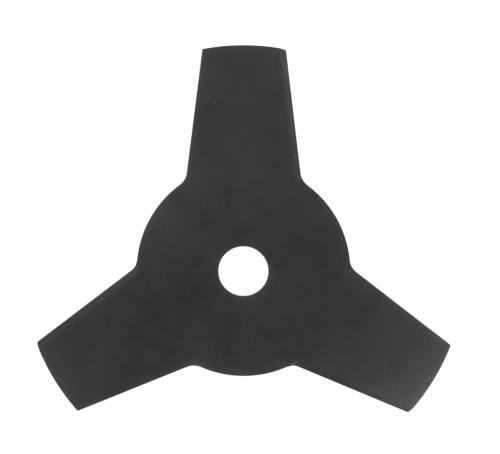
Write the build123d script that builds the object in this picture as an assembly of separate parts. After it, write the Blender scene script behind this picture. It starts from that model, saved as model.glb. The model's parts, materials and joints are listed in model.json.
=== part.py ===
from build123d import *
from math import cos, radians, sin, sqrt
import os

# Brush cutter blade: one flat steel plate with three tapered teeth around a hub.
# It is bored for the spigot of a gearbox and clamped flat between two flanges.
# The origin is the centre of the bore on the underside. +Z runs along the bore and
# out of the upper face, and +Y runs along one tooth. All sizes are in millimetres.

# Plate
plate_thickness = 1.6
blade_diameter = 225.0  # the circle that the tips of the teeth sweep
hub_diameter = 108.4
bore_diameter = 25.4  # one inch, the usual spigot of a brush cutter's gearbox
bore_chamfer = 0.2

# Teeth
tooth_count = 3
root_width = 58.2  # from side to side where the straight sides meet the hub circle
tip_width = 41.4  # from side to side where they meet the circle of the tips
root_fillet = 9.0
tip_corner_radius = 1.0

# Ground bevels, one on the upper face and one on the underside of every tooth
bevel_width = 3.2
edge_land = 0.5  # blunt steel left standing at the cutting edge
bevel_overrun = 1.8  # how far the crease runs on past the start of the root fillet
runout_skew = 30  # degrees that the end of a bevel is turned away from square
runout_slope = 48  # degrees that the end of a bevel rises from the plate
grind_clearance = 5.0  # how far the shapes that cut the bevels reach past the steel


def point_on_circle(diameter, x):
    """The point of a circle round the origin that lies at this x, above the X axis."""
    return Vector(x, sqrt((diameter / 2) ** 2 - x**2))


def side_ends():
    """The right-hand side of the tooth along +Y, from the hub circle to the tip circle."""
    root = point_on_circle(hub_diameter, root_width / 2)
    tip = point_on_circle(blade_diameter, tip_width / 2)
    return root, tip


def side_directions():
    """Two unit vectors of that side: along it towards the tip, and square out of the tooth."""
    root, tip = side_ends()
    along = (tip - root).normalized()
    outward = Vector(along.Y, -along.X)
    return along, outward


def fillet_start():
    """Where the straight side ends and the root fillet begins.

    The fillet's centre is one radius out from the side and one radius out from the hub.
    """
    root, _ = side_ends()
    along, outward = side_directions()
    beside_root = root + outward * root_fillet
    centre_distance = hub_diameter / 2 + root_fillet
    lean = beside_root.dot(along)
    step = sqrt(lean**2 - beside_root.dot(beside_root) + centre_distance**2) - lean
    return root + along * step


def tooth_face():
    """One tooth along +Y, from the middle of the hub out to its arched tip."""
    root, tip = side_ends()
    crown = Vector(0, blade_diameter / 2)
    arch = ThreePointArc(tip, crown, Vector(-tip.X, tip.Y))
    left_side = Line(Vector(-tip.X, tip.Y), Vector(-root.X, root.Y))
    inner_end = Polyline(Vector(-root.X, root.Y), Vector(0, 0), root)
    right_side = Line(root, tip)
    return make_face([arch, left_side, inner_end, right_side])


def plate_outline():
    """The hub disc and its teeth, with rounded roots and rounded tip corners."""
    outline = Rot(Z=90) * Circle(hub_diameter / 2)
    for turn in PolarLocations(0, tooth_count):
        outline += turn * tooth_face()
    roots = outline.vertices().group_by(SortBy.DISTANCE, tol_digits=3)[0]
    outline = fillet(roots, root_fillet)
    tip_corners = outline.vertices().group_by(SortBy.DISTANCE, tol_digits=3)[-1]
    return fillet(tip_corners, tip_corner_radius)


def runout_plane():
    """The steep, skewed facet that ends a bevel in the root fillet."""
    along, outward = side_directions()
    crease_end = fillet_start() - along * bevel_overrun - outward * bevel_width
    uphill = along * -cos(radians(runout_skew)) - outward * sin(radians(runout_skew))
    slope = radians(runout_slope)
    return Plane(
        origin=crease_end + Vector(0, 0, plate_thickness),
        z_dir=uphill * -sin(slope) + Vector(0, 0, cos(slope)),
    )


def bevel_cut():
    """What is ground off the upper face along the right-hand side of the tooth along +Y."""
    _, tip = side_ends()
    along, outward = side_directions()
    start = fillet_start() - along * 2 * grind_clearance
    rise = grind_clearance * (plate_thickness - edge_land) / bevel_width
    wedge = make_face(
        Polyline(
            (bevel_width + grind_clearance, plate_thickness + rise),
            (-grind_clearance, edge_land - rise),
            (-grind_clearance, plate_thickness + rise),
            close=True,
        )
    )
    length = (tip - start).length + grind_clearance
    side_section = Plane(origin=start, x_dir=outward * -1, z_dir=along)
    prism = extrude(side_section * wedge, length, dir=along)
    return split(prism, bisect_by=runout_plane(), keep=Keep.TOP)


def blade():
    """The whole plate: cut to its outline, bored, and ground on both faces."""
    plate = extrude(plate_outline(), plate_thickness)
    plate -= extrude(Circle(bore_diameter / 2), plate_thickness)
    bore_rims = [edge for edge in plate.edges() if edge.is_closed]
    plate = chamfer(bore_rims, bore_chamfer)
    upper_cut = bevel_cut()
    flip_axis = Axis((0, 0, plate_thickness / 2), (0, 1, 0))
    lower_cut = upper_cut.rotate(flip_axis, 180)
    for turn in PolarLocations(0, tooth_count):
        plate -= turn * upper_cut
        plate -= turn * lower_cut
    return plate


os.makedirs("parts", exist_ok=True)
export_step(blade(), "parts/blade.step")
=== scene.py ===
import json
import math

import bpy
import numpy as np
from mathutils import Matrix, Vector


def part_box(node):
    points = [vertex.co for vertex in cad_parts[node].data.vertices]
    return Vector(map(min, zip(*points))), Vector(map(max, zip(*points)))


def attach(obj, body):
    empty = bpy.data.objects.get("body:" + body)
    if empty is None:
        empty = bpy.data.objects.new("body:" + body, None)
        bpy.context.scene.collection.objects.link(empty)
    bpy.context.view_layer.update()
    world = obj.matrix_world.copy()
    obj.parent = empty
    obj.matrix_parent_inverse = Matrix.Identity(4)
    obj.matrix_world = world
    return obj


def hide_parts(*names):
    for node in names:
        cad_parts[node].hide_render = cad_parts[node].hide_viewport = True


# Brush cutter blade: one plate of black finished steel, lying flat on a white floor.

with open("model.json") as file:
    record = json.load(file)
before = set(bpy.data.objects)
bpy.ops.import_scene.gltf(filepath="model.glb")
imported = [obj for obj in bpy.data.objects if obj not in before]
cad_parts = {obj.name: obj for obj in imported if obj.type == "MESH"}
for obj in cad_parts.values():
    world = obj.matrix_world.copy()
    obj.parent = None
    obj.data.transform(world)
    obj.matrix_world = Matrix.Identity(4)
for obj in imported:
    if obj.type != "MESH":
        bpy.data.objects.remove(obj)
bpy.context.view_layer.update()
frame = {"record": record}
mm = 0.001
print("frame loaded")

# Settings of the blade
lowCorner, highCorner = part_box("blade")
boreMount = next(m for m in frame["record"]["mounts"] if m["name"] == "bore")
blade = {
    "teeth": 3,
    "thickness": highCorner[2] - lowCorner[2],
    "tipRadius": highCorner[1],  # the tooth on +Y reaches the circle of the tips
    "boreRadius": boreMount["dims"]["r_mm"] * mm,
    "hubRadius": 54.2 * mm,
    "rootWidth": 58.2 * mm,  # across a tooth, on the hub circle
    "tipWidth": 41.4 * mm,  # across a tooth, on the circle of the tips
    "rootFillet": 9.0 * mm,
    "cornerRadius": 1.0 * mm,
    "bevelWidth": 3.2 * mm,
    "edgeLand": 0.5 * mm,  # blunt steel left at the cutting edge
    # the bevels are ground by hand: one value for each tooth, clockwise from +Y
    "bevelOverruns": (1.2 * mm, 2.2 * mm, 2.2 * mm),  # past the start of the root fillet
    "extraWidths": (0.32 * mm, 0, -0.3 * mm),  # added to the bevel's width
    "wanderStarts": (0.0, 4.2, 2.5),  # in radians, where the waves of the crease start
    "wander": 0.25 * mm,  # how far the crease strays to either side
    "wanderLengths": (29 * mm, 11 * mm),
    "runoutSkew": math.radians(30),
    "runoutSlope": math.radians(48),
    "creaseRound": 0.18 * mm,  # how softly the ground facets meet the face
    "edgeRound": 0.26 * mm,  # rounding of the blanked edges under the finish
    "boreRound": 0.24 * mm,
    "roundShare": 0.42,  # most of the wall's height that one rounding may take
}

# How much the coat is rubbed off the rounded corners: 0 is untouched, 1 is down to the steel
rub = {
    "tip": 0.55,
    "tipCorner": 0.8,
    "side": 0.75,
    "fillet": 0.35,
    "hub": 0.3,
    "bore": 0.45,
    "runouts": (0.95, 0.76, 0.55),  # of each tooth, clockwise from +Y
}

# Grid of the blade's surface: samples along each stretch of half a tooth, rings across it
stretches = ("crown", "crownCrease", "crownEnd", "corner", "side", "sideEnd", "fillet", "hub")
grid = {
    "crown": 9,
    "crownCrease": 14,
    "crownEnd": 5,
    "corner": 8,
    "side": 32,
    "sideEnd": 10,
    "fillet": 38,
    "hub": 10,
    "sideEndLength": 2.0 * mm,  # close samples start this far before the root fillet
    "leastCorner": 0.05 * mm,
    "roundRings": 6,
    "support": 0.07 * mm,  # ring beside each rounding, which keeps its shading off the face
    "creaseSpan": 0.7 * mm,  # close rings either side of the crease
    "groundRings": 9,
    "creaseRings": 14,
    "faceRings": 12,
    "groundFull": 0.15 * mm,  # ground this deep counts fully as a ground facet
}

# What the surface notes at each point for the finish: the distance to the nearest edge in
# millimetres, how rubbed it is, millimetres along the side, and how much it is a ground facet
noteNames = ("edgeDistance", "corner", "stroke", "ground")


def ray(angle):
    # unit vector at this angle from +X
    return np.stack([np.cos(angle), np.sin(angle)], axis=-1)


def sideLine():
    # Clockwise side of the tooth on +Y: straight from the hub circle to the circle of the tips.
    # It ends where the root fillet's centre stands one radius out from both the side and the hub.
    halfRoot, halfTip = blade["rootWidth"] / 2, blade["tipWidth"] / 2
    root = np.array([halfRoot, math.sqrt(blade["hubRadius"] ** 2 - halfRoot**2)])
    tip = np.array([halfTip, math.sqrt(blade["tipRadius"] ** 2 - halfTip**2)])
    along = (tip - root) / np.linalg.norm(tip - root)
    outward = np.array([along[1], -along[0]])
    beside = root + outward * blade["rootFillet"]
    reach = blade["hubRadius"] + blade["rootFillet"]
    step = math.sqrt((beside @ along) ** 2 - beside @ beside + reach**2) - beside @ along
    return root + along * step, along, outward


filletStart, along, outward = sideLine()
filletCentre = filletStart + outward * blade["rootFillet"]


def bevelWidthAt(stroke, extra, start):
    # the crease wanders as the mean of two sine waves along the edge
    waves = [np.sin(2 * math.pi * stroke / length + start) for length in blade["wanderLengths"]]
    return blade["bevelWidth"] + extra + blade["wander"] * sum(waves) / len(waves)


def groundDepth(points, overrun, extra, start):
    # Steel ground off the upper face: the lesser of the depth under the bevel plane and the depth
    # under the run-out plane, and never less than nothing. Both corners are rounded, because each
    # lesser or greater of a and b is (a + b -/+ sqrt((a - b)^2 + round^2)) / 2. Also given back is
    # how far the point lies on the run-out itself, from 0 to 1.
    soft = blade["creaseRound"]
    inward = (filletStart - points) @ outward
    width = bevelWidthAt((points - filletStart) @ along, extra, start)
    underBevel = (width - inward) * (blade["thickness"] - blade["edgeLand"]) / width
    skew = blade["runoutSkew"]
    uphill = -along * math.cos(skew) - outward * math.sin(skew)
    creaseEnd = filletStart - along * overrun - outward * blade["bevelWidth"]
    underRunout = (creaseEnd - points) @ uphill * math.tan(blade["runoutSlope"])
    lesser = (underBevel + underRunout - np.sqrt((underBevel - underRunout) ** 2 + soft**2)) / 2
    onRunout = np.clip((underBevel - underRunout) / soft, 0, 1) * np.clip(underRunout / soft, 0, 1)
    return (lesser + np.sqrt(lesser**2 + soft**2)) / 2, onRunout


def edgeDistance(points):
    # Distance to the nearest edge: the least of the distances to the circle of the tips, the side,
    # the root fillet, the hub circle and the bore. The side and the hub circle count only for
    # points that are abreast of them.
    radius = np.linalg.norm(points, axis=-1)
    angle = np.arctan2(points[..., 1], points[..., 0])
    far = 2 * blade["tipRadius"]
    side = np.where((points - filletStart) @ along > 0, (filletStart - points) @ outward, far)
    abreast = angle < math.atan2(filletCentre[1], filletCentre[0])
    hub = np.where(abreast, blade["hubRadius"] - radius, far)
    fillet = np.linalg.norm(points - filletCentre, axis=-1) - blade["rootFillet"]
    parts = [blade["tipRadius"] - radius, side, fillet, hub, radius - blade["boreRadius"]]
    return np.maximum(np.min(parts, axis=0), 0)


def stretchCuts():
    # samples of each stretch of half a tooth, and the sample at which each one starts
    counts = [grid[name] for name in stretches]
    return counts, np.cumsum([0] + counts)


def cornerWear():
    # how much the rounded corners are rubbed at each sample of half a tooth: one value wherever a
    # stretch starts or ends, and straight in between
    names = ("tip", "tip", "tip", "tipCorner", "side", "side", "fillet", "hub", "hub")
    cuts = stretchCuts()[1]
    return np.interp(np.arange(cuts[-1] + 1), cuts, [rub[name] for name in names])


def halfTooth(inset):
    # Outline of half a tooth, from the middle of its tip clockwise to the middle of the next gap,
    # moved inwards by inset (an array of rings by samples). Each stretch keeps its centre or its
    # direction: only its radius or its place changes with the inset.
    counts, cuts = stretchCuts()
    shares = np.concatenate([np.arange(count) / count for count in counts] + [[1.0]])
    parts = []

    def stretch(name, last=0):
        # share of the way along the stretch, and the inset, at each of its samples
        index = stretches.index(name)
        part = slice(cuts[index], cuts[index + 1] + last)
        return shares[part], inset[:, part]

    def cornerAt(depth):
        # The corner's centre is as far in from the side as from the circle of the tips. Deep rings
        # keep a least radius, because faces without area would spoil the shading.
        reach = np.maximum(depth + grid["leastCorner"], blade["cornerRadius"])
        base = filletStart - outward * reach[..., None]
        lean = base @ along
        step = np.sqrt(lean**2 - (base**2).sum(-1) + (blade["tipRadius"] - reach) ** 2) - lean
        return base + along * step[..., None], (reach - depth)[..., None]

    # the arched tip, with close samples where the crease of the bevel runs out at it
    cornerX = cornerAt(np.zeros(1))[0][0, 0]
    beside = blade["bevelWidth"] - blade["cornerRadius"]
    span = grid["creaseSpan"]
    breaks = (0, 1 - (beside + span) / cornerX, 1 - (beside - span) / cornerX, 1)
    for name, low, high in zip(("crown", "crownCrease", "crownEnd"), breaks, breaks[1:]):
        share, depth = stretch(name)
        centre = cornerAt(depth)[0]
        turn = np.arctan2(centre[..., 0], centre[..., 1]) * (low + (high - low) * share)
        parts.append((blade["tipRadius"] - depth)[..., None] * ray(math.pi / 2 - turn))

    # the tip's corner
    share, depth = stretch("corner")
    centre, radius = cornerAt(depth)
    first = np.arctan2(centre[..., 1], centre[..., 0])
    last = math.atan2(outward[1], outward[0])
    parts.append(centre + radius * ray(first + (last - first) * share))

    # the straight side, with close samples towards the root
    for name in ("side", "sideEnd"):
        share, depth = stretch(name)
        centre, radius = cornerAt(depth)
        outer = centre + outward * radius
        inner = filletStart - outward * depth[..., None]
        middle = inner + along * grid["sideEndLength"]
        start, end = (outer, middle) if name == "side" else (middle, inner)
        parts.append(start + (end - start) * share[:, None])

    # the root fillet
    share, depth = stretch("fillet")
    first = math.atan2(-outward[1], -outward[0]) % (2 * math.pi)
    last = math.atan2(-filletCentre[1], -filletCentre[0]) % (2 * math.pi)
    radius = (blade["rootFillet"] + depth)[..., None]
    parts.append(filletCentre + radius * ray(first + (last - first) * share))

    # the hub, with the middle of the gap as its last sample
    share, depth = stretch("hub", last=1)
    first = math.atan2(filletCentre[1], filletCentre[0])
    gapMiddle = math.pi / 2 - math.pi / blade["teeth"]
    angle = first + (gapMiddle - first) * share
    parts.append((blade["hubRadius"] - depth)[..., None] * ray(angle))
    return np.concatenate(parts, axis=1)


# Angles of a rounding's rings, from the wall up to the face. A rounding of radius r at angle a
# lies r (1 - cos a) in from the wall and r (1 - sin a) below the face.
roundAngles = np.linspace(0, math.pi / 2, grid["roundRings"])
roundIn, roundDown = 1 - np.cos(roundAngles), 1 - np.sin(roundAngles)


def halfToothRings(grind):
    # Plan of half a tooth as rings from the bore out to the outline, and how far the roundings
    # take each point below the face. Outside the crease the rings follow the outline, and inside
    # it they run straight to the bore, at the same angle about the centre.
    samples = stretchCuts()[1][-1] + 1
    wallFoot = halfTooth(np.zeros((1, samples)))
    wallHeight = blade["thickness"] - groundDepth(wallFoot, *grind)[0][0]
    radius = np.minimum(blade["edgeRound"], wallHeight * blade["roundShare"])

    # rings that follow the outline: the rounding, its support, the ground facet and the crease
    groundStart = blade["edgeRound"] + 2 * grid["support"]
    creaseLow = blade["bevelWidth"] - grid["creaseSpan"]
    creaseHigh = blade["bevelWidth"] + grid["creaseSpan"]
    groundInset = np.linspace(groundStart, creaseLow, grid["groundRings"])
    creaseInset = np.linspace(creaseLow, creaseHigh, grid["creaseRings"])[1:]
    bandInset = np.concatenate([groundInset, creaseInset])[:, None] + np.zeros(samples)
    supportInset = radius[None] + grid["support"]
    inset = np.concatenate([radius * roundIn[:, None], supportInset, bandInset])
    band = halfTooth(inset)
    levelRings = np.zeros((len(inset) - len(roundAngles), samples))
    bandDrop = np.concatenate([radius * roundDown[:, None], levelRings])

    # rings round the bore: a support, then the rounding down to the wall
    boreRound = blade["boreRound"]
    boreInset = np.concatenate([[grid["support"] + boreRound], boreRound * roundIn[::-1]])
    boreDrop = np.concatenate([[0], boreRound * roundDown[::-1]])[:, None] + np.zeros(samples)
    inner = band[-1]
    direction = inner / np.linalg.norm(inner, axis=-1)[:, None]
    boreRings = direction[None] * (blade["boreRadius"] + boreInset)[:, None, None]

    # rows across the face between the two
    shares = np.linspace(0, 1, grid["faceRings"] + 1)[1:-1, None, None]
    face = inner + (boreRings[0] - inner) * shares
    faceDrop = np.zeros((len(face), samples))
    plan = np.concatenate([band, face, boreRings])[::-1]
    return plan, np.concatenate([bandDrop, faceDrop, boreDrop])[::-1]


def halfToothSurface(grind, runoutRub):
    # Closed section at every sample of half a tooth: the upper face from the bore to the outline,
    # as high as the plate less what is ground and rounded off, then the lower face back.
    plan, drop = halfToothRings(grind)
    depth, onRunout = groundDepth(plan, *grind)
    upper = np.concatenate([plan, (blade["thickness"] - depth - drop)[..., None]], axis=-1)
    lower = np.concatenate([plan, drop[..., None]], axis=-1)

    # a corner is rubbed most at the middle of its rounding, as the sine of twice the angle
    corner = np.zeros(drop.shape)
    bulge = np.sin(2 * roundAngles)[:, None]
    corner[-len(bulge):] = (bulge * cornerWear())[::-1]
    corner[:len(bulge)] = bulge * rub["bore"]
    rubbed = np.maximum(corner, onRunout * runoutRub)
    edge = edgeDistance(plan) / mm
    stroke = (plan - filletStart) @ along / mm
    ground = np.clip(depth / grid["groundFull"], 0, 1)
    upperNotes = np.stack([edge, rubbed, stroke, ground], axis=-1)
    lowerNotes = np.stack([edge, corner, stroke, np.zeros(edge.shape)], axis=-1)
    return np.concatenate([upper, lower[::-1]]), np.concatenate([upperNotes, lowerNotes[::-1]])


def turned(points, angle):
    # turned clockwise about the bore, seen from above
    cosine, sine = math.cos(angle), math.sin(angle)
    return points @ np.array([[cosine, -sine, 0], [sine, cosine, 0], [0, 0, 1]])


def toothSurface(grind, runoutRub):
    # The other half of each tooth is the first one turned over about the tooth's middle line,
    # so it carries the bevel on the lower face.
    half, notes = halfToothSurface(grind, runoutRub)
    over = half[::-1, ::-1] * [-1, 1, -1] + [0, 0, blade["thickness"]]
    points = np.concatenate([over[:, :-1], half[:, :-1]], axis=1)
    return points, np.concatenate([notes[::-1, ::-1][:, :-1], notes[:, :-1]], axis=1)


def bladeSurface():
    # the teeth one after the other, clockwise, at equal angles
    grinds = zip(blade["bevelOverruns"], blade["extraWidths"], blade["wanderStarts"])
    teeth = [toothSurface(grind, runoutRub) for grind, runoutRub in zip(grinds, rub["runouts"])]
    surfaces, notes = zip(*teeth)
    turn = 2 * math.pi / blade["teeth"]
    points = [turned(surface, turn * number) for number, surface in enumerate(surfaces)]
    return np.concatenate(points, axis=1), np.concatenate(notes, axis=1)


def gridMesh(name, points):
    # closed in both directions: the last ring and the last row join on to the first
    rings, rows = points.shape[:2]
    index = np.arange(rings * rows).reshape(rings, rows)
    nextRow = np.roll(index, -1, axis=1)
    corners = (index, nextRow, np.roll(nextRow, -1, axis=0), np.roll(index, -1, axis=0))
    corners = np.stack(corners, axis=-1).astype(np.int32)
    mesh = bpy.data.meshes.new(name)
    mesh.vertices.add(rings * rows)
    mesh.vertices.foreach_set("co", points.astype(np.float32).ravel())
    mesh.loops.add(corners.size)
    mesh.loops.foreach_set("vertex_index", corners.ravel())
    mesh.polygons.add(rings * rows)
    mesh.polygons.foreach_set("loop_start", np.arange(0, corners.size, 4, dtype=np.int32))
    mesh.polygons.foreach_set("use_smooth", np.ones(rings * rows, dtype=bool))
    mesh.update(calc_edges=True)
    mesh.validate()
    return mesh


points, notes = bladeSurface()
bladeMesh = gridMesh("bladePlate", points)
for index, name in enumerate(noteNames):
    layer = bladeMesh.attributes.new(name, "FLOAT", "POINT")
    layer.data.foreach_set("value", notes[..., index].astype(np.float32).ravel())
plate = bpy.data.objects.new("bladePlate", bladeMesh)
bpy.context.scene.collection.objects.link(plate)
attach(plate, "root")
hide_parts("blade")
print("blade:", len(bladeMesh.polygons), "faces")

# Painted highlights and shade on the upper face: x, y and radius in millimetres, then how much
# paler the coat is painted there, or darker where the value is below 0
paintedLights = (
    (-49, 25, 17, 0.40),
    (-28, 52, 13, 0.15),
    (-10, -62, 22, 0.75),
    (-17, -46, 13, 0.25),
    (20, 5, 10, 0.20),
    (-9, 38, 17, 0.20),
    (87, -78, 20, 0.50),
    (62, -67, 13, 0.25),
    (-86, -23, 18, -0.38),
    (50, -20, 18, -0.36),
    (88, -42, 14, -0.20),
    (74, -14, 13, 0.35),
    (98, -56, 15, 0.30),
    (2, 106, 22, -0.21),
    (80, -74, 10, 0.50),
    (-93, -31, 8, -0.20),
    (81, -60, 1.6, 0.30),
)

# Settings of the finish, with the painted light and shade in its tone: lengths in millimetres,
# colours as linear values. A range gives the value at which something sets in and the value at
# which it is full.
finish = {
    "coat": (0.0224, 0.0221, 0.0214, 1),
    "cloudSize": 36.0,  # the broadest clouds in the coat
    "cloudDepth": 1.0,
    "smudgeSize": 9.0,
    "smudgeDepth": 0.12,
    "smudgeRange": (0.12, 0.5),
    "grainSize": 0.45,
    "mottleSize": 0.9,  # finest mottling of the tone
    "mottleDepth": 0.5,
    "tint": (0.0232, 0.0224, 0.0178, 1),  # browner patches of the coat
    "tintSize": 8.0,
    "tintRange": (0.05, 0.4),
    "paintedLightRange": (0.1, 0.4),  # heights, so that the lower face has no painted light
    "sheenReach": 2.2,  # a painted sheen makes the coat a little paler towards every edge
    "sheenPaling": 1.1,
    "tipHighlightRange": (72.0, 116.0),  # and a painted highlight makes it paler towards the tips of the teeth, this far out from the bore
    "tipHighlight": 0.25,
    "speck": (0.075, 0.075, 0.073, 1),
    "speckSpacing": 11.0,
    "speckSize": 0.36,
    "speckShare": 0.045,
    "speckLeast": 0.45,  # radius of the smallest speck, as a share of the size
    "speckCore": 0.45,  # share of a speck's radius inside its soft rim
    "speckSlant": (9.0, -7.0),  # shift for each millimetre of height, which parts the two faces
    "speckHeight": 2.0,  # in the bump, where the grain counts as one
    "bareSteel": (0.20, 0.195, 0.19, 1),
    "bareRoughness": 0.38,
    "rubFineness": 0.35,  # of the noise that breaks up the rubbed corners: 1 over its size
    "rubNoise": 0.9,
    "rubLevel": 0.75,
    "rubRange": (0.45, 0.85),
    "roughness": 0.38,
    "roughnessChange": 0.05,
    "lineSpacing": 0.22,  # grinding marks across the bevels
    "lineLength": 4.0,
    "lineDrift": 50.0,  # at this distance the marks are other ones
    "lineShade": 0.10,
    # painted highlight: the ground facets are paler than the face, as their slope catches more
    # light
    "paintedGroundLight": 0.33,
    "groundSheen": 0.45,  # share of the painted edge sheen that shows on a ground facet
    "bumpHeight": 0.006 * mm,  # in metres, unlike the others
}

# Noise patterns: octaves, their roughness, and a shift that sets each pattern apart
patterns = {
    "clouds": (7.0, 0.66, (0, 0, 0)),
    "smudges": (3.0, 0.6, (31, 17, 5)),
    "mottle": (2.0, 0.6, (7, 3, 1)),
    "tint": (4.0, 0.6, (13, 5, 9)),
    "grain": (2.0, 0.5, (0, 0, 0)),
    "lines": (2.0, 0.5, (0, 0, 0)),
    "rub": (4.0, 0.5, (3, 11, 7)),
}


def plug(tree, socket, value):
    # links a socket, or sets a plain value
    if isinstance(value, bpy.types.NodeSocket):
        tree.links.new(value, socket)
    else:
        socket.default_value = value


def fill(tree, node, values):
    # puts each value on the node's input of that name
    for name, value in values.items():
        plug(tree, node.inputs[name.replace("_", " ")], value)
    return node


def addNode(tree, kind, **values):
    return fill(tree, tree.nodes.new(kind), values)


def mathNode(tree, kind, operation, values):
    # a Math or Vector Math node, with the values on its inputs in their order
    node = tree.nodes.new(kind)
    node.operation = operation
    for socket, value in zip(node.inputs, values):
        plug(tree, socket, value)
    return node.outputs


def calc(tree, operation, *values):
    return mathNode(tree, "ShaderNodeMath", operation, values)[0]


def product(tree, first, *others):
    # the first value times each of the others in turn
    for value in others:
        first = calc(tree, "MULTIPLY", first, value)
    return first


def aboutOne(tree, value, depth):
    # a factor about 1: one plus depth times the value
    return calc(tree, "MULTIPLY_ADD", value, depth, 1.0)


def scaled(tree, vector, factor, shift=(0, 0, 0)):
    # vector times one factor, plus a shift
    if not isinstance(factor, bpy.types.NodeSocket):
        factor = (factor,) * 3
    values = (vector, factor, shift)
    return mathNode(tree, "ShaderNodeVectorMath", "MULTIPLY_ADD", values)["Vector"]


def distance(tree, place, centre):
    return mathNode(tree, "ShaderNodeVectorMath", "DISTANCE", (place, centre))["Value"]


def ramp(tree, value, low, high):
    # smooth 0 to 1 as the value goes from low to high
    node = addNode(tree, "ShaderNodeMapRange", Value=value, From_Min=low, From_Max=high)
    node.interpolation_type = "SMOOTHSTEP"
    return node.outputs[0]


def between(tree, share, first, second):
    # from the first number to the second as the share goes from 0 to 1
    node = addNode(tree, "ShaderNodeMapRange", Value=share, To_Min=first, To_Max=second)
    return node.outputs[0]


def mixed(tree, share, first, second):
    # the same for colours, on the colour sockets of the node
    node = tree.nodes.new("ShaderNodeMix")
    node.data_type = "RGBA"
    for index, value in ((0, share), (6, first), (7, second)):
        plug(tree, node.inputs[index], value)
    return node.outputs[2]


def noise(tree, name, place, fineness):
    # a pattern about nothing, from about -1 to 1; its fineness is 1 over its size
    detail, roughness, shift = patterns[name]
    texture = addNode(tree, "ShaderNodeTexNoise", Vector=scaled(tree, place, fineness, shift),
                      Scale=1.0, Detail=detail, Roughness=roughness)
    return calc(tree, "MULTIPLY_ADD", texture.outputs[0], 2.0, -1.0)


def newGroup(name, inputs, outputs):
    # a node group; Place is a vector, and every other input and output is a number
    group = bpy.data.node_groups.new(name, "ShaderNodeTree")
    for side, labels in (("INPUT", inputs), ("OUTPUT", outputs)):
        for label in labels:
            kind = "NodeSocketVector" if label == "Place" else "NodeSocketFloat"
            group.interface.new_socket(label, in_out=side, socket_type=kind)
    given = group.nodes.new("NodeGroupInput").outputs
    return group, given, group.nodes.new("NodeGroupOutput").inputs


def placeGroup(tree, group, **values):
    # the group in this tree, with its own values; gives back its outputs
    node = tree.nodes.new("ShaderNodeGroup")
    node.node_tree = group
    return fill(tree, node, values).outputs


def coatClouds():
    # Clouds in the coat, as a factor about 1, and the same unevenness about nothing. One noise of
    # many octaves runs from broad clouds down to the grain, and darker smudges lie where another
    # noise is high.
    group, given, result = newGroup(
        "coatClouds", ("Place", "Cloud Size", "Cloud Depth", "Smudge Size", "Smudge Depth"),
        ("Tone", "Unevenness"))
    cloudFineness = calc(group, "DIVIDE", 1.0, given["Cloud Size"])
    smudgeFineness = calc(group, "DIVIDE", 1.0, given["Smudge Size"])
    clouds = noise(group, "clouds", given["Place"], cloudFineness)
    smudges = noise(group, "smudges", given["Place"], smudgeFineness)
    smudges = ramp(group, smudges, *finish["smudgeRange"])
    darkening = calc(group, "MULTIPLY", smudges, given["Smudge Depth"])
    darker = calc(group, "SUBTRACT", 1.0, darkening)
    tone = aboutOne(group, clouds, given["Cloud Depth"])
    plug(group, result["Tone"], product(group, tone, darker))
    plug(group, result["Unevenness"], calc(group, "SUBTRACT", clouds, smudges))
    return group


def paintedLightPatches():
    # soft patches of painted highlight and shade on one face: each fades as exp(-(distance /
    # radius)^2), and they add up about 1
    group, given, result = newGroup("paintedLightPatches", ("Place",), ("Tone",))
    tone = 1.0
    for x, y, radius, strength in paintedLights:
        away = distance(group, given["Place"], (x, y, blade["thickness"] / mm))
        share = calc(group, "DIVIDE", away, radius)
        fade = calc(group, "EXPONENT", product(group, share, share, -1.0))
        tone = calc(group, "MULTIPLY_ADD", fade, strength, tone)
    height = addNode(group, "ShaderNodeSeparateXYZ", Vector=given["Place"]).outputs["Z"]
    upper = ramp(group, height, *finish["paintedLightRange"])
    plug(group, result["Tone"], aboutOne(group, calc(group, "SUBTRACT", tone, 1.0), upper))
    return group


def dustSpecks():
    # round specks at the middles of a few Voronoi cells; the two faces have different ones
    group, given, result = newGroup("dustSpecks", ("Place", "Spacing", "Size", "Share"), ("Mask",))
    parts = addNode(group, "ShaderNodeSeparateXYZ", Vector=given["Place"]).outputs
    slantX, slantY = finish["speckSlant"]
    flat = addNode(group, "ShaderNodeCombineXYZ",
                   X=calc(group, "MULTIPLY_ADD", parts["Z"], slantX, parts["X"]),
                   Y=calc(group, "MULTIPLY_ADD", parts["Z"], slantY, parts["Y"]))
    fineness = calc(group, "DIVIDE", 1.0, given["Spacing"])
    cells = group.nodes.new("ShaderNodeTexVoronoi")
    cells.voronoi_dimensions = "2D"
    plug(group, cells.inputs["Scale"], 1.0)
    plug(group, cells.inputs["Vector"], scaled(group, flat.outputs[0], fineness))
    chance = addNode(group, "ShaderNodeSeparateColor", Color=cells.outputs["Color"]).outputs
    size = calc(group, "ADD", chance["Green"], finish["speckLeast"])
    radius = product(group, given["Size"], size)
    away = product(group, cells.outputs["Distance"], given["Spacing"])
    disc = ramp(group, calc(group, "DIVIDE", away, radius), 1.0, finish["speckCore"])
    chosen = calc(group, "LESS_THAN", chance["Red"], given["Share"])
    plug(group, result["Mask"], product(group, disc, chosen))
    return group


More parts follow.
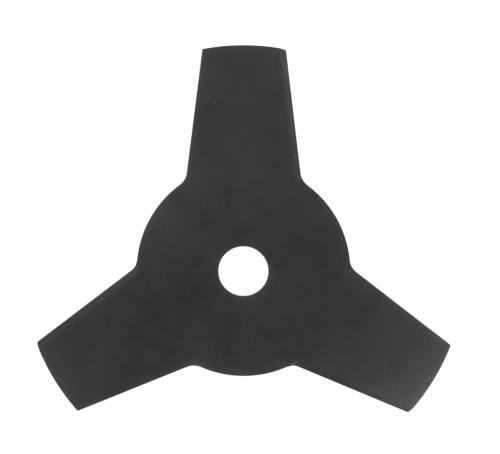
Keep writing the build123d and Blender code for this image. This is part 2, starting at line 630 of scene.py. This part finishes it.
def rubbedEdgesAndSheen():
    # Bare steel on the rounded corners, broken up by noise, and a painted sheen that makes the
    # coat paler towards every edge, which fades as exp(-distance / reach) and is weaker on a
    # ground facet.
    group, given, result = newGroup(
        "rubbedEdgesAndSheen", ("Place", "Corner", "Edge Distance", "Ground", "Rim Reach", "Rim Paling",
                        "Ground Rim"),
        ("Bare", "Sheen"))
    patchy = noise(group, "rub", given["Place"], finish["rubFineness"])
    level = calc(group, "MULTIPLY_ADD", patchy, finish["rubNoise"], finish["rubLevel"])
    rubbed = product(group, given["Corner"], level)
    plug(group, result["Bare"], ramp(group, rubbed, *finish["rubRange"]))
    # painted sheen: the coat paler near the edges, fading with the distance
    behind = calc(group, "MULTIPLY", given["Rim Reach"], -1.0)
    fade = calc(group, "EXPONENT", calc(group, "DIVIDE", given["Edge Distance"], behind))
    paintedGroundLight = product(group, given["Rim Paling"], given["Ground Rim"])
    edgeSheen = between(group, given["Ground"], given["Rim Paling"], paintedGroundLight)
    plug(group, result["Sheen"], aboutOne(group, fade, edgeSheen))
    return group


def grindingLines():
    # marks across a ground facet: noise that changes quickly along the edge and slowly across it
    group, given, result = newGroup(
        "grindingLines", ("Place", "Stroke", "Edge Distance", "Ground", "Spacing", "Length"),
        ("Lines",))
    drift = scaled(group, given["Place"], 1 / finish["lineDrift"])
    across = addNode(group, "ShaderNodeCombineXYZ",
                     X=calc(group, "DIVIDE", given["Stroke"], given["Spacing"]),
                     Y=calc(group, "DIVIDE", given["Edge Distance"], given["Length"]),
                     Z=addNode(group, "ShaderNodeSeparateXYZ", Vector=drift).outputs["X"])
    lines = noise(group, "lines", across.outputs[0], 1.0)
    plug(group, result["Lines"], product(group, lines, given["Ground"]))
    return group


def blackFinish():
    # satin black coat over steel, with painted light and shade in its tone; the shader itself
    # stays here
    material = bpy.data.materials.new("satinBlackFinish")
    material.use_nodes = True
    tree = material.node_tree
    shader = tree.nodes["Principled BSDF"]
    note = {}
    for name in noteNames:
        reader = tree.nodes.new("ShaderNodeAttribute")
        reader.attribute_name = name
        note[name] = reader.outputs["Fac"]
    place = scaled(tree, tree.nodes.new("ShaderNodeTexCoord").outputs["Object"], 1 / mm)
    clouds = placeGroup(
        tree, coatClouds(), Place=place,
        Cloud_Size=finish["cloudSize"], Cloud_Depth=finish["cloudDepth"],
        Smudge_Size=finish["smudgeSize"], Smudge_Depth=finish["smudgeDepth"])
    # painted highlights and shade in patches on the upper face
    paintedLight = placeGroup(tree, paintedLightPatches(), Place=place)
    specks = placeGroup(
        tree, dustSpecks(), Place=place,
        Spacing=finish["speckSpacing"], Size=finish["speckSize"], Share=finish["speckShare"])
    edges = placeGroup(
        tree, rubbedEdgesAndSheen(), Place=place,
        Corner=note["corner"], Edge_Distance=note["edgeDistance"], Ground=note["ground"],
        Rim_Reach=finish["sheenReach"], Rim_Paling=finish["sheenPaling"],
        Ground_Rim=finish["groundSheen"])
    lines = placeGroup(
        tree, grindingLines(), Place=place,
        Stroke=note["stroke"], Edge_Distance=note["edgeDistance"], Ground=note["ground"],
        Spacing=finish["lineSpacing"], Length=finish["lineLength"])["Lines"]

    # tone of the coat: every effect is a factor about 1. The edge sheen, the patches, the paler
    # ground facets and the paler tips are painted light and shade
    mottle = noise(tree, "mottle", place, 1 / finish["mottleSize"])
    # painted highlight towards the tips of the teeth
    outer = ramp(tree, distance(tree, place, (0, 0, 0)), *finish["tipHighlightRange"])
    tone = product(
        tree, clouds["Tone"], edges["Sheen"], paintedLight["Tone"],
        aboutOne(tree, mottle, finish["mottleDepth"]),
        aboutOne(tree, lines, finish["lineShade"]),
        # painted highlight on the ground facets
        aboutOne(tree, note["ground"], finish["paintedGroundLight"]),
        aboutOne(tree, outer, finish["tipHighlight"]))
    browner = noise(tree, "tint", place, 1 / finish["tintSize"])
    browner = ramp(tree, browner, *finish["tintRange"])
    coat = scaled(tree, mixed(tree, browner, finish["coat"], finish["tint"]), tone)
    color = mixed(tree, specks["Mask"], coat, finish["speck"])
    plug(tree, shader.inputs["Base Color"], mixed(tree, edges["Bare"], color, finish["bareSteel"]))
    plug(tree, shader.inputs["Metallic"], edges["Bare"])

    satin = calc(tree, "MULTIPLY_ADD",
                 clouds["Unevenness"], finish["roughnessChange"], finish["roughness"])
    rough = between(tree, edges["Bare"], satin, finish["bareRoughness"])
    plug(tree, shader.inputs["Roughness"], rough)
    grain = noise(tree, "grain", place, 1 / finish["grainSize"])
    raised = calc(tree, "MULTIPLY", specks["Mask"], finish["speckHeight"])
    height = calc(tree, "ADD", calc(tree, "ADD", grain, lines), raised)
    bump = addNode(tree, "ShaderNodeBump", Height=height, Distance=finish["bumpHeight"])
    plug(tree, shader.inputs["Normal"], bump.outputs[0])
    return material


bladeMesh.materials.append(blackFinish())
print("finish made")

# Floor, room and lamps: lengths in metres
studio = {
    "floorSize": 6.0,
    "floorDrop": 0.01 * mm,  # keeps the floor clear of the blade's underside
    "floorColor": (0.92, 0.92, 0.92, 1),  # as the lamps light it
    "shownColor": (0.45, 0.45, 0.45, 1),  # as the camera and reflections see it, besides its glow
    "nearGlow": 0.84,  # a shadowed floor near the blade goes down to this
    "farGlow": 1.0,
    "glowRange": (0.2, 0.9),  # distances at which the near glow ends and the far one starts
    "worldColor": (0.2, 0.2, 0.2, 1),
    "lampDistance": 1.6,
}
lamps = {
    # name: azimuth and elevation in degrees, width, height, power, colour
    "backRight": (37, 34, 1.2, 0.8, 6.0, (1, 1, 1)),
    "backLeft": (140, 42, 1.0, 0.8, 2.8, (1, 1, 1)),
    "back": (90, 75, 1.0, 0.8, 1.65, (1, 1, 1)),
    "left": (194, 52, 1.0, 0.8, 3.1, (1.02, 1.0, 0.94)),
    "front": (304, 30, 0.8, 0.6, 3.9, (1.0, 0.99, 0.97)),
    "frontRight": (319, 48, 0.9, 0.7, 4.7, (0.90, 0.95, 1.12)),
}


def floorMaterial():
    # plain white: the lamps light it as it is, and the camera and reflections see it glow besides
    material = bpy.data.materials.new("whiteFloor")
    material.use_nodes = True
    tree = material.node_tree
    tree.nodes.remove(tree.nodes["Principled BSDF"])
    path = tree.nodes.new("ShaderNodeLightPath").outputs
    seen = calc(tree, "MAXIMUM", path["Is Camera Ray"], path["Is Glossy Ray"])
    place = tree.nodes.new("ShaderNodeTexCoord").outputs["Object"]
    away = ramp(tree, distance(tree, place, (0, 0, 0)), *studio["glowRange"])
    moreGlow = studio["farGlow"] - studio["nearGlow"]
    glow = calc(tree, "MULTIPLY_ADD", away, moreGlow, studio["nearGlow"])
    color = mixed(tree, seen, studio["floorColor"], studio["shownColor"])
    diffuse = addNode(tree, "ShaderNodeBsdfDiffuse", Color=color)
    strength = calc(tree, "MULTIPLY", seen, glow)
    white = addNode(tree, "ShaderNodeEmission", Color=(1, 1, 1, 1), Strength=strength)
    both = tree.nodes.new("ShaderNodeAddShader")
    plug(tree, both.inputs[0], diffuse.outputs[0])
    plug(tree, both.inputs[1], white.outputs[0])
    plug(tree, tree.nodes["Material Output"].inputs["Surface"], both.outputs[0])
    return material


def makeFloor():
    # one flat square, just under the blade
    half = studio["floorSize"] / 2
    corners = [(-half, -half, 0), (half, -half, 0), (half, half, 0), (-half, half, 0)]
    mesh = bpy.data.meshes.new("floor")
    mesh.from_pydata(corners, [], [(0, 1, 2, 3)])
    mesh.materials.append(floorMaterial())
    floor = bpy.data.objects.new("floor", mesh)
    floor.location.z = -studio["floorDrop"]
    bpy.context.scene.collection.objects.link(floor)


def makeWorld():
    # a dim room for the blade, which the camera sees as white
    world = bpy.data.worlds.new("studio")
    bpy.context.scene.world = world
    world.use_nodes = True
    tree = world.node_tree
    tree.nodes.clear()
    room = addNode(tree, "ShaderNodeBackground", Color=studio["worldColor"], Strength=1.0)
    white = addNode(tree, "ShaderNodeBackground", Color=(1, 1, 1, 1), Strength=1.0)
    path = tree.nodes.new("ShaderNodeLightPath")
    mix = addNode(tree, "ShaderNodeMixShader", Fac=path.outputs["Is Camera Ray"])
    plug(tree, mix.inputs[1], room.outputs[0])
    plug(tree, mix.inputs[2], white.outputs[0])
    addNode(tree, "ShaderNodeOutputWorld", Surface=mix.outputs[0])


def makeLamps():
    # soft boxes, all at one distance and turned to the bore
    for name, (azimuth, elevation, width, height, power, color) in lamps.items():
        light = bpy.data.lights.new(name, "AREA")
        light.shape = "RECTANGLE"
        light.size = width
        light.size_y = height
        light.energy = power
        light.color = color
        side, lift = math.radians(azimuth), math.radians(elevation)
        level = math.cos(lift)
        toLamp = Vector((math.cos(side) * level, math.sin(side) * level, math.sin(lift)))
        lamp = bpy.data.objects.new(name, light)
        lamp.location = toLamp * studio["lampDistance"]
        lamp.rotation_euler = toLamp.to_track_quat("Z", "Y").to_euler()
        bpy.context.scene.collection.objects.link(lamp)


# The camera looks down on the upper face, a little from the side of the upright tooth
camera = {
    "lens": 38.5,  # this and the sensor's width are in millimetres
    "sensor": 36,
    "nearest": 0.01,  # it sees nothing closer than this, in metres
    "place": Vector((4.68, 39.98, 270.51)) * mm,
    "aim": Vector((3.25, 22.58, 1.6)) * mm,
    "roll": math.radians(0.27),
}


def makeCamera():
    # turned to its aim with +Y upwards, then rolled about its own axis
    data = bpy.data.cameras.new("camera")
    data.lens = camera["lens"]
    data.sensor_width = camera["sensor"]
    data.clip_start = camera["nearest"]
    view = bpy.data.objects.new("camera", data)
    bpy.context.scene.collection.objects.link(view)
    forward = (camera["aim"] - camera["place"]).normalized()
    right = forward.cross(Vector((0, 1, 0))).normalized()
    up = right.cross(forward)
    turn = Matrix((right, up, -forward)).transposed().to_4x4()
    roll = Matrix.Rotation(camera["roll"], 4, "Z")
    view.matrix_world = Matrix.Translation(camera["place"]) @ turn @ roll
    bpy.context.scene.camera = view


makeFloor()
makeWorld()
makeLamps()
makeCamera()
bpy.context.scene.view_settings.view_transform = "Standard"
print("studio made")
